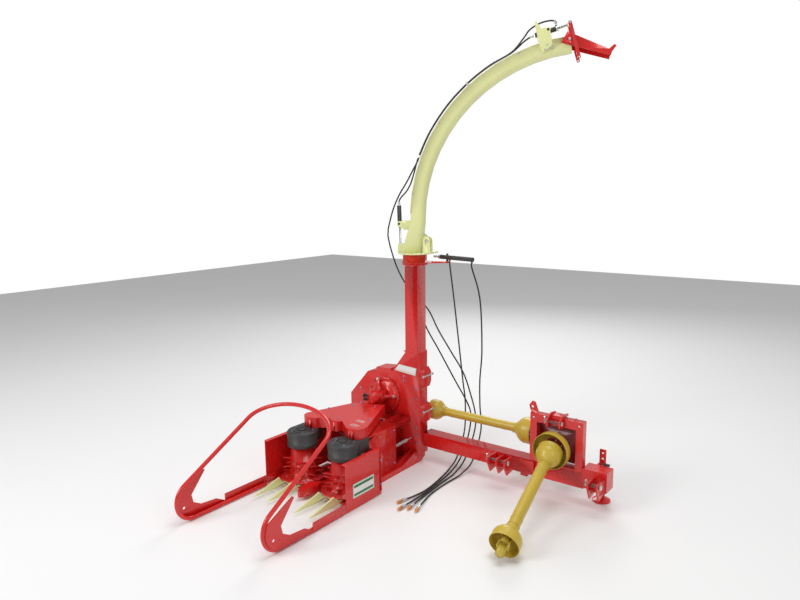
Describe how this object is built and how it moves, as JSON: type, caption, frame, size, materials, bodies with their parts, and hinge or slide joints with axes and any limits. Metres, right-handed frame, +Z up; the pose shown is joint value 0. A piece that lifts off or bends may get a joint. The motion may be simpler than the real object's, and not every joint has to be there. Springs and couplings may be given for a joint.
{
  "type": "side-mounted two-drum forage harvester",
  "caption": "Tractor-mounted side forage harvester with gathering drums, chopper, tall curved discharge spout, hitch toolbar and drive shafts.",
  "frame": {"origin": "middle of the machine's plan box at ground level", "axes": "+X along the toolbar from the header towards the hitch, -Y in the direction of travel, +Z up"},
  "size_m": [2.495, 2.8004, 3.7558],
  "materials": {
    "red_paint": "gloss enamel",
    "cream_paint": "gloss enamel",
    "guard_plastic": "moulded, satin gloss",
    "black_plastic": "moulded, matt",
    "bright_steel": "zinc plated or ground",
    "dark_cast": "painted casting",
    "hose_rubber": "smooth hydraulic hose",
    "coupler_caps": "dull copper-coloured caps"
  },
  "bodies": {
    "root": {"toolbar_beam": "red_paint", "headstock_frame": "red_paint", "top_link_bracket": "red_paint", "top_link_pin": "bright_steel", "outer_hitch_bracket": "red_paint", "outer_hitch_pin": "bright_steel", "inner_hitch_bracket": "red_paint", "inner_hitch_pin": "bright_steel", "headstock_gearbox": "dark_cast", "input_guard_bell": "guard_plastic", "cross_shaft_guard": "guard_plastic", "chopper_housing": "red_paint", "feed_gear_cover": "red_paint", "chopper_gearbox": "dark_cast", "chopper_skid": "red_paint", "chute_column": "red_paint", "column_collar": "red_paint", "header_floor": "red_paint", "header_inner_side": "red_paint", "header_outer_side": "red_paint", "feed_housing": "red_paint", "centre_divider": "red_paint", "drum_drive_cover": "red_paint", "outer_drum_cap": "black_plastic", "inner_drum_cap": "black_plastic", "outer_lifter_fingers": "cream_paint", "inner_lifter_fingers": "cream_paint", "outer_divider": "red_paint", "inner_divider": "red_paint", "crop_hoop": "red_paint", "loop_hose": "hose_rubber", "fold_hose": "hose_rubber", "slew_front_hose": "hose_rubber", "slew_rear_hose": "hose_rubber", "loop_coupler": "coupler_caps", "fold_coupler": "coupler_caps", "slew_front_coupler": "coupler_caps", "slew_rear_coupler": "coupler_caps"},
    "input_shaft_swing": {"input_shaft_guard": "guard_plastic"},
    "input_shaft_turning": {"input_shaft": "guard_plastic"},
    "cross_shaft_turning": {"cross_shaft": "bright_steel"},
    "flywheel": {"chopper_flywheel": "dark_cast"},
    "outer_drum": {"outer_gathering_drum": "red_paint"},
    "inner_drum": {"inner_gathering_drum": "red_paint"},
    "upper_roller": {"upper_feed_roller": "bright_steel"},
    "lower_roller": {"lower_feed_roller": "bright_steel"},
    "spout_base": {"spout_turntable": "cream_paint", "fold_hinge_pin": "bright_steel"},
    "spout": {"spout_arc": "cream_paint", "spout_hoses": "hose_rubber", "loop_hose_upper": "hose_rubber"},
    "hood": {"deflector_hood": "red_paint"},
    "slew_barrel": {"slew_cylinder_barrel": "black_plastic"},
    "slew_rod": {"slew_cylinder_rod": "bright_steel"},
    "fold_barrel": {"fold_cylinder_barrel": "black_plastic"},
    "fold_rod": {"fold_cylinder_rod": "bright_steel"},
    "deflector_barrel": {"deflector_cylinder_barrel": "black_plastic"},
    "deflector_rod": {"deflector_cylinder_rod": "bright_steel"},
    "stand": {"parking_stand": "red_paint"}
  },
  "joints": [
    {"name": "input_shaft_lift", "type": "hinge", "parent": "root", "child": "input_shaft_swing", "pos_m": [0.8275, 0.5842, 0.43], "axis": [-0.9938, -0.1115, 0], "range_deg": [0, 35]},
    {"name": "input_shaft_turn", "type": "hinge", "parent": "input_shaft_swing", "child": "input_shaft_turning", "pos_m": [0.8275, 0.5842, 0.43], "axis": [0.1053, -0.9389, -0.3277], "continuous": true},
    {"name": "cross_shaft_turn", "type": "hinge", "parent": "root", "child": "cross_shaft_turning", "pos_m": [0.0475, 0.8842, 0.43], "axis": [1, 0, 0], "continuous": true},
    {"name": "flywheel_turn", "type": "hinge", "parent": "root", "child": "flywheel", "pos_m": [-0.8425, 0.6692, 0.43], "axis": [0, 1, 0], "continuous": true},
    {"name": "outer_drum_turn", "type": "hinge", "parent": "root", "child": "outer_drum", "pos_m": [-1.0245, -0.2808, 0.1], "axis": [0, 0, 1], "continuous": true},
    {"name": "inner_drum_turn", "type": "hinge", "parent": "root", "child": "inner_drum", "pos_m": [-0.5605, -0.2808, 0.1], "axis": [0, 0, 1], "continuous": true},
    {"name": "upper_roller_turn", "type": "hinge", "parent": "root", "child": "upper_roller", "pos_m": [-0.7925, 0.1892, 0.345], "axis": [1, 0, 0], "continuous": true},
    {"name": "lower_roller_turn", "type": "hinge", "parent": "root", "child": "lower_roller", "pos_m": [-0.7925, 0.1892, 0.145], "axis": [1, 0, 0], "continuous": true},
    {"name": "spout_slew", "type": "hinge", "parent": "root", "child": "spout_base", "pos_m": [-0.5175, 0.6542, 1.8946], "axis": [0, 0, 1], "range_deg": [-8, 80]},
    {"name": "slew_barrel_turn", "type": "hinge", "parent": "root", "child": "slew_barrel", "pos_m": [-0.27249, 0.79461, 1.8626], "axis": [0, 0, 1], "range_deg": [-1.77, 8.7]},
    {"name": "slew_rod_slide", "type": "slide", "parent": "slew_barrel", "child": "slew_rod", "axis": [-0.9798, 0.2, 0], "range_m": [-0.0279, 0.2608]},
    {"name": "spout_fold", "type": "hinge", "parent": "spout_base", "child": "spout", "pos_m": [-0.41599, 0.70153, 2.012], "axis": [-0.4226, 0.9063, 0], "range_deg": [0, 35]},
    {"name": "fold_barrel_turn", "type": "hinge", "parent": "spout", "child": "fold_barrel", "pos_m": [-0.70235, 0.68386, 2.15], "axis": [-0.4226, 0.9063, 0], "range_deg": [-13.18, 1]},
    {"name": "fold_rod_slide", "type": "slide", "parent": "fold_barrel", "child": "fold_rod", "axis": [0.0232, 0.0108, -0.9997], "range_m": [-0.002, 0.1555]},
    {"name": "hood_tilt", "type": "hinge", "parent": "spout", "child": "hood", "pos_m": [0.62173, 1.18543, 3.587], "axis": [-0.4226, 0.9063, 0], "range_deg": [-30, 20]},
    {"name": "deflector_barrel_turn", "type": "hinge", "parent": "spout", "child": "deflector_barrel", "pos_m": [0.47128, 1.11528, 3.671], "axis": [-0.4226, 0.9063, 0], "range_deg": [-3.3, 2.53]},
    {"name": "deflector_rod_slide", "type": "slide", "parent": "deflector_barrel", "child": "deflector_rod", "axis": [0.878, 0.4094, 0.2481], "range_m": [-0.0666, 0.0451]},
    {"name": "stand_slide", "type": "slide", "parent": "root", "child": "stand", "axis": [0, 0, 1], "range_m": [0, 0.1]}
  ],
  "couplings": [
    {"joint": "input_shaft_turn", "follows": "flywheel_turn", "ratio": 1},
    {"joint": "cross_shaft_turn", "follows": "flywheel_turn", "ratio": 1},
    {"joint": "outer_drum_turn", "follows": "flywheel_turn", "ratio": -0.2},
    {"joint": "inner_drum_turn", "follows": "flywheel_turn", "ratio": 0.2},
    {"joint": "upper_roller_turn", "follows": "flywheel_turn", "ratio": -0.25},
    {"joint": "lower_roller_turn", "follows": "flywheel_turn", "ratio": 0.25},
    {"joint": "slew_barrel_turn", "follows": "spout_slew", "ratio": 0.0962},
    {"joint": "slew_rod_slide", "follows": "spout_slew", "m_per_rad": 0.18537},
    {"joint": "fold_barrel_turn", "follows": "spout_fold", "ratio": -0.34791},
    {"joint": "fold_rod_slide", "follows": "spout_fold", "m_per_rad": 0.25122},
    {"joint": "deflector_barrel_turn", "follows": "hood_tilt", "ratio": 0.07655},
    {"joint": "deflector_rod_slide", "follows": "hood_tilt", "m_per_rad": 0.12334}
  ]
}
